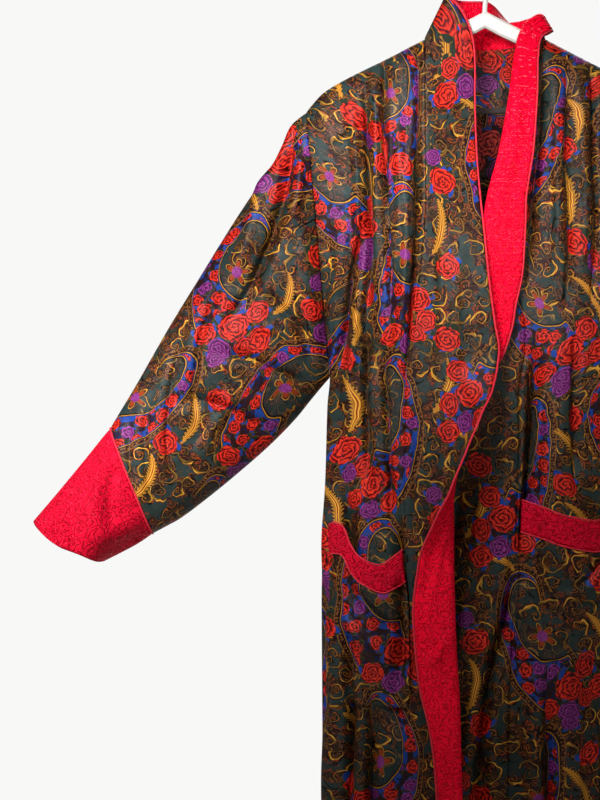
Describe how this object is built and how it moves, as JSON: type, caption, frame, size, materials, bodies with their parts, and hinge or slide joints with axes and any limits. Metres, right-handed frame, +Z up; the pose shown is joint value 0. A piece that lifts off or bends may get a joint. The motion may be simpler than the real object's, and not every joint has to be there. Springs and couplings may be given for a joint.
{
  "type": "kimono robe on a clothes hanger",
  "caption": "Long kimono robe of dark printed satin with wide sleeves, red cuffs, turned front bands and pockets, hung open on a plain moulded hanger.",
  "frame": {"origin": "inner top of the hanger's hook, where a rail carries it", "axes": "+Z up, the open fronts face -Y, and the wearer's right is at -X"},
  "size_m": [1.095, 0.1977, 1.2938],
  "materials": {
    "print_satin": "soft satin, dark green-teal ground with a large printed pattern of teardrops, roses and gold scrolls",
    "red_jacquard": "red jacquard with fine raised scrolls",
    "piping": "pinkish-red satin piping",
    "hanger_plastic": "moulded, pale, half gloss"
  },
  "bodies": {
    "root": {"back": "print_satin", "back_neck_facing": "print_satin", "front_right": "print_satin", "sleeve_right": "print_satin", "cuff_right": "red_jacquard", "cuff_piping_right": "piping", "band_right": "print_satin", "band_facing_right": "red_jacquard", "front_piping_right": "piping", "pocket_right": "print_satin", "pocket_band_right": "red_jacquard", "pocket_piping_top_right": "piping", "pocket_piping_low_right": "piping", "front_left": "print_satin", "sleeve_left": "print_satin", "cuff_left": "red_jacquard", "cuff_piping_left": "piping", "band_left": "print_satin", "band_facing_left": "red_jacquard", "front_piping_left": "piping", "pocket_left": "print_satin", "pocket_band_left": "red_jacquard", "pocket_piping_top_left": "piping", "pocket_piping_low_left": "piping", "hanger": "hanger_plastic"}
  },
  "joints": []
}
